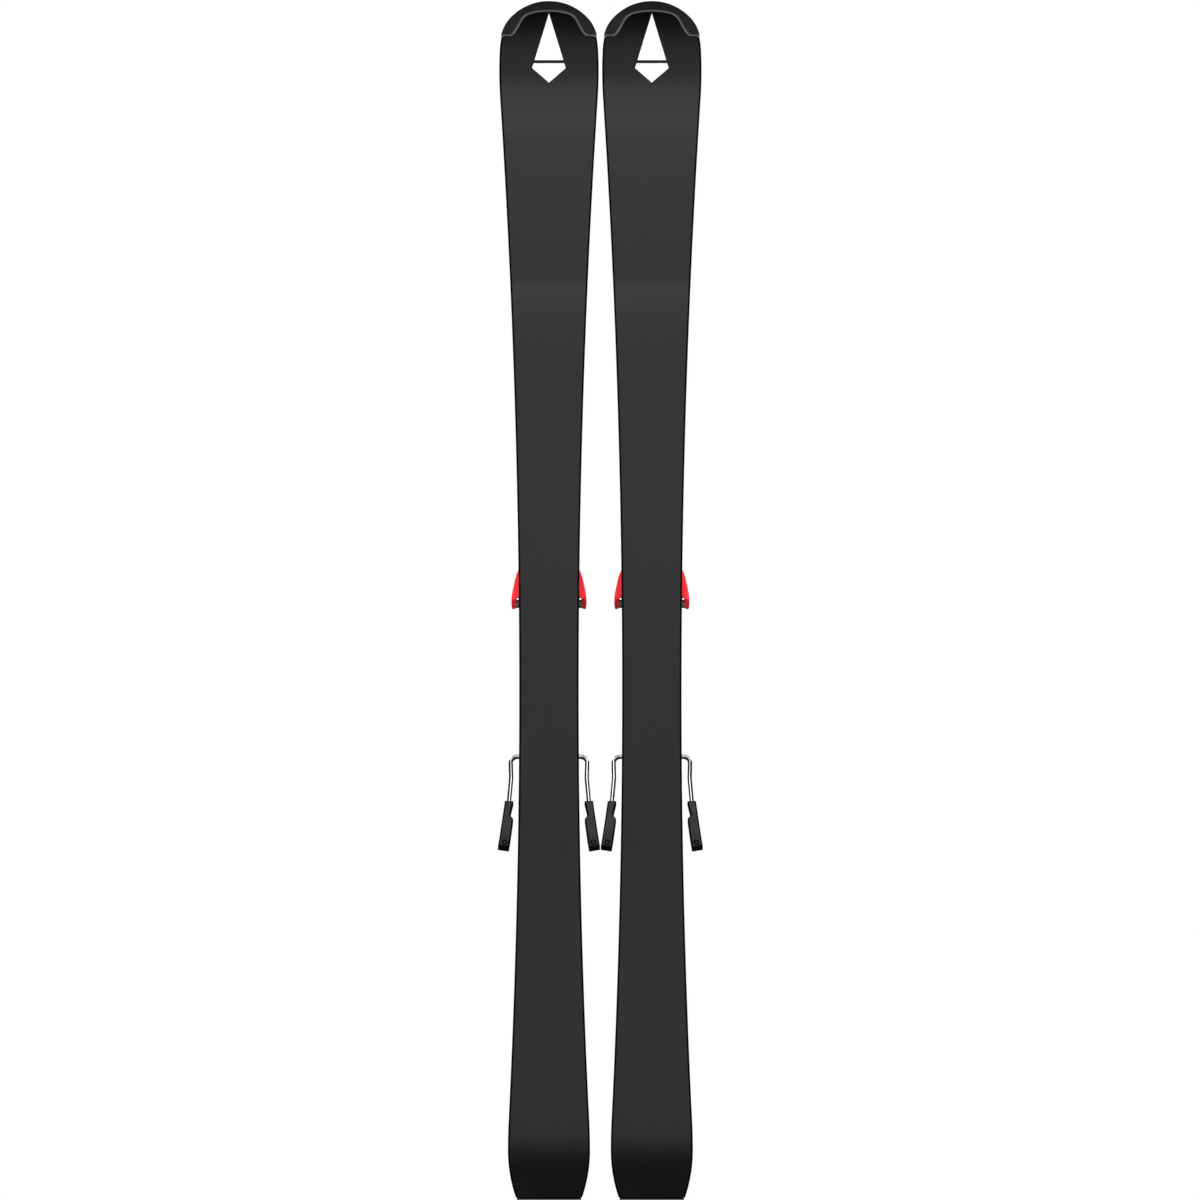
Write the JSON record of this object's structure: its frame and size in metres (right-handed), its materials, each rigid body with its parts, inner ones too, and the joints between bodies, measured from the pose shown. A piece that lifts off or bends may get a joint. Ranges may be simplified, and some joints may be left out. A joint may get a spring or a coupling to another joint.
{
  "type": "alpine skis with bindings",
  "caption": "Pair of carving skis with rail-mounted toe and heel bindings, brakes down, standing on their tails.",
  "frame": {"origin": "on the floor line midway between the two tails, in the plane that both running surfaces touch", "axes": "+Z from tails to tips, +X from the left to the right ski as seen from the running surfaces, +Y from the running surfaces towards the bindings"},
  "size_m": [0.2556, 0.1682, 1.4999],
  "materials": {
    "base_plastic": "semi-gloss sintered",
    "edge_steel": "ground",
    "core_wood": "raw",
    "sidewall_plastic": "satin",
    "laminate": "raw",
    "top_sheet": "glossy",
    "guard_plastic": "moulded",
    "rail_alloy": "anodised",
    "screw_steel": "plated",
    "binding_black": "moulded",
    "binding_red": "moulded",
    "wing_red": "moulded",
    "pin_steel": "ground",
    "spring_steel": "drawn wire",
    "setting_screw": "plated",
    "glide_plate": "smooth",
    "lever_black": "moulded",
    "brake_steel": "bright",
    "pad_plastic": "moulded",
    "pedal_plastic": "moulded"
  },
  "bodies": {
    "left_ski": {"left_base_sheet": "base_plastic", "left_steel_edges": "edge_steel", "left_wood_core": "core_wood", "left_sidewalls": "sidewall_plastic", "left_laminates": "laminate", "left_top_sheet": "top_sheet", "left_tip_guard": "guard_plastic", "left_tail_guard": "guard_plastic", "left_toe_rail": "rail_alloy", "left_heel_rail": "rail_alloy", "left_rail_screws": "screw_steel"},
    "left_toe": {"left_toe_slider": "binding_black", "left_toe_housing": "binding_red", "left_toe_pins": "pin_steel", "left_toe_spring": "spring_steel"},
    "left_wing_left": {"left_toe_wing_left": "wing_red"},
    "left_wing_right": {"left_toe_wing_right": "wing_red"},
    "left_afd": {"left_afd_plate": "glide_plate"},
    "left_toe_screw": {"left_toe_setting_screw": "setting_screw"},
    "left_toe_lock": {"left_toe_lock": "binding_black"},
    "left_heel": {"left_heel_slider": "binding_black", "left_heel_axle": "pin_steel"},
    "left_heel_cup": {"left_heel_housing": "binding_red", "left_heel_spring": "spring_steel"},
    "left_heel_lever": {"left_heel_lever": "lever_black"},
    "left_heel_screw": {"left_heel_setting_screw": "setting_screw"},
    "left_heel_lock": {"left_heel_lock": "binding_black"},
    "left_brake": {"left_brake_arms": "brake_steel", "left_brake_pads": "pad_plastic", "left_brake_pedal": "pedal_plastic"},
    "right_ski": {"right_base_sheet": "base_plastic", "right_steel_edges": "edge_steel", "right_wood_core": "core_wood", "right_sidewalls": "sidewall_plastic", "right_laminates": "laminate", "right_top_sheet": "top_sheet", "right_tip_guard": "guard_plastic", "right_tail_guard": "guard_plastic", "right_toe_rail": "rail_alloy", "right_heel_rail": "rail_alloy", "right_rail_screws": "screw_steel"},
    "right_toe": {"right_toe_slider": "binding_black", "right_toe_housing": "binding_red", "right_toe_pins": "pin_steel", "right_toe_spring": "spring_steel"},
    "right_wing_left": {"right_toe_wing_left": "wing_red"},
    "right_wing_right": {"right_toe_wing_right": "wing_red"},
    "right_afd": {"right_afd_plate": "glide_plate"},
    "right_toe_screw": {"right_toe_setting_screw": "setting_screw"},
    "right_toe_lock": {"right_toe_lock": "binding_black"},
    "right_heel": {"right_heel_slider": "binding_black", "right_heel_axle": "pin_steel"},
    "right_heel_cup": {"right_heel_housing": "binding_red", "right_heel_spring": "spring_steel"},
    "right_heel_lever": {"right_heel_lever": "lever_black"},
    "right_heel_screw": {"right_heel_setting_screw": "setting_screw"},
    "right_heel_lock": {"right_heel_lock": "binding_black"},
    "right_brake": {"right_brake_arms": "brake_steel", "right_brake_pads": "pad_plastic", "right_brake_pedal": "pedal_plastic"}
  },
  "joints": [
    {"name": "left_toe_slide", "type": "slide", "parent": "left_ski", "child": "left_toe", "axis": [0, 0, 1], "range_m": [-0.02, 0.02]},
    {"name": "left_wing_left_swing", "type": "hinge", "parent": "left_toe", "child": "left_wing_left", "pos_m": [-0.08635, 0.059, 0.786], "axis": [0, 1, 0], "range_deg": [0, 28], "stiffness_Nm_per_rad": 4, "springref_deg": -5.73},
    {"name": "left_wing_right_swing", "type": "hinge", "parent": "left_toe", "child": "left_wing_right", "pos_m": [-0.04235, 0.059, 0.786], "axis": [0, -1, 0], "range_deg": [0, 28], "stiffness_Nm_per_rad": 4, "springref_deg": -5.73},
    {"name": "left_afd_slide", "type": "slide", "parent": "left_toe", "child": "left_afd", "axis": [1, 0, 0], "range_m": [-0.008, 0.008], "stiffness_N_per_m": 400},
    {"name": "left_toe_screw_turn", "type": "hinge", "parent": "left_toe", "child": "left_toe_screw", "pos_m": [-0.06435, 0.057, 0.842], "axis": [0, 0, 1], "continuous": true},
    {"name": "left_toe_lock_lift", "type": "hinge", "parent": "left_toe", "child": "left_toe_lock", "pos_m": [-0.06435, 0.0272, 0.867], "axis": [-1, 0, 0], "range_deg": [0, 35]},
    {"name": "left_heel_slide", "type": "slide", "parent": "left_ski", "child": "left_heel", "axis": [0, 0, 1], "range_m": [-0.025, 0.025]},
    {"name": "left_heel_cup_lift", "type": "hinge", "parent": "left_heel", "child": "left_heel_cup", "pos_m": [-0.06435, 0.046, 0.41], "axis": [-1, 0, 0], "range_deg": [0, 35]},
    {"name": "left_heel_lever_swing", "type": "hinge", "parent": "left_heel_cup", "child": "left_heel_lever", "pos_m": [-0.06435, 0.08, 0.43], "axis": [-1, 0, 0], "range_deg": [0, 10.5]},
    {"name": "left_heel_screw_turn", "type": "hinge", "parent": "left_heel_cup", "child": "left_heel_screw", "pos_m": [-0.06435, 0.066, 0.395], "axis": [0, 0, -1], "continuous": true},
    {"name": "left_heel_lock_lift", "type": "hinge", "parent": "left_heel", "child": "left_heel_lock", "pos_m": [-0.06435, 0.0272, 0.367], "axis": [1, 0, 0], "range_deg": [0, 35]},
    {"name": "left_brake_swing", "type": "hinge", "parent": "left_heel", "child": "left_brake", "pos_m": [-0.06435, 0.033, 0.5544], "axis": [1, 0, 0], "range_deg": [0, 36], "stiffness_Nm_per_rad": 1.2, "springref_deg": -17.19},
    {"name": "right_toe_slide", "type": "slide", "parent": "right_ski", "child": "right_toe", "axis": [0, 0, 1], "range_m": [-0.02, 0.02]},
    {"name": "right_wing_left_swing", "type": "hinge", "parent": "right_toe", "child": "right_wing_left", "pos_m": [0.04235, 0.059, 0.786], "axis": [0, 1, 0], "range_deg": [0, 28], "stiffness_Nm_per_rad": 4, "springref_deg": -5.73},
    {"name": "right_wing_right_swing", "type": "hinge", "parent": "right_toe", "child": "right_wing_right", "pos_m": [0.08635, 0.059, 0.786], "axis": [0, -1, 0], "range_deg": [0, 28], "stiffness_Nm_per_rad": 4, "springref_deg": -5.73},
    {"name": "right_afd_slide", "type": "slide", "parent": "right_toe", "child": "right_afd", "axis": [1, 0, 0], "range_m": [-0.008, 0.008], "stiffness_N_per_m": 400},
    {"name": "right_toe_screw_turn", "type": "hinge", "parent": "right_toe", "child": "right_toe_screw", "pos_m": [0.06435, 0.057, 0.842], "axis": [0, 0, 1], "continuous": true},
    {"name": "right_toe_lock_lift", "type": "hinge", "parent": "right_toe", "child": "right_toe_lock", "pos_m": [0.06435, 0.0272, 0.867], "axis": [-1, 0, 0], "range_deg": [0, 35]},
    {"name": "right_heel_slide", "type": "slide", "parent": "right_ski", "child": "right_heel", "axis": [0, 0, 1], "range_m": [-0.025, 0.025]},
    {"name": "right_heel_cup_lift", "type": "hinge", "parent": "right_heel", "child": "right_heel_cup", "pos_m": [0.06435, 0.046, 0.41], "axis": [-1, 0, 0], "range_deg": [0, 35]},
    {"name": "right_heel_lever_swing", "type": "hinge", "parent": "right_heel_cup", "child": "right_heel_lever", "pos_m": [0.06435, 0.08, 0.43], "axis": [-1, 0, 0], "range_deg": [0, 10.5]},
    {"name": "right_heel_screw_turn", "type": "hinge", "parent": "right_heel_cup", "child": "right_heel_screw", "pos_m": [0.06435, 0.066, 0.395], "axis": [0, 0, -1], "continuous": true},
    {"name": "right_heel_lock_lift", "type": "hinge", "parent": "right_heel", "child": "right_heel_lock", "pos_m": [0.06435, 0.0272, 0.367], "axis": [1, 0, 0], "range_deg": [0, 35]},
    {"name": "right_brake_swing", "type": "hinge", "parent": "right_heel", "child": "right_brake", "pos_m": [0.06435, 0.033, 0.5544], "axis": [1, 0, 0], "range_deg": [0, 36], "stiffness_Nm_per_rad": 1.2, "springref_deg": -17.19},
    {"name": "pair_apart", "type": "slide", "parent": "left_ski", "child": "right_ski", "axis": [1, 0, 0], "range_m": [0, 0.15]}
  ],
  "couplings": [
    {"joint": "left_heel_lever_swing", "follows": "left_heel_cup_lift", "ratio": 0.3},
    {"joint": "right_heel_lever_swing", "follows": "right_heel_cup_lift", "ratio": 0.3}
  ]
}
